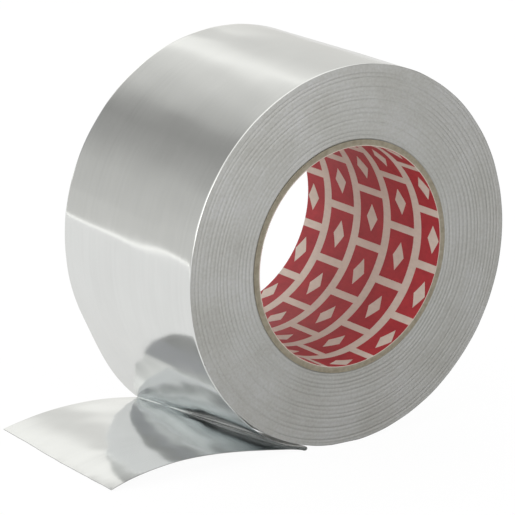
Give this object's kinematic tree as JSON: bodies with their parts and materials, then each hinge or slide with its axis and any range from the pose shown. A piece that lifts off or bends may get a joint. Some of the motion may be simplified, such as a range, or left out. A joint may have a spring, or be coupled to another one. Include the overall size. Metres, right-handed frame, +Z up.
{
  "type": "roll of aluminium foil tape",
  "caption": "Roll of self-adhesive aluminium foil tape on a paper core, standing on its rim with the loose end creased back along the floor.",
  "frame": {"origin": "centre of the bore, midway between the roll's two end faces", "axes": "+Y along the bore's axis from the near end face to the far one, +Z up, -X the way the loose end runs out along the floor"},
  "size_m": [0.1611, 0.075, 0.1314],
  "materials": {
    "foil": "bright rolled foil, satin on the roll's end faces",
    "board": "matte grey paperboard",
    "liner_paper": "matte lining paper",
    "print_red": "matte red ink on paper"
  },
  "bodies": {
    "root": {"foil_tape": "foil", "core_tube": "board", "core_liner": "liner_paper", "liner_print": "print_red"}
  },
  "joints": []
}
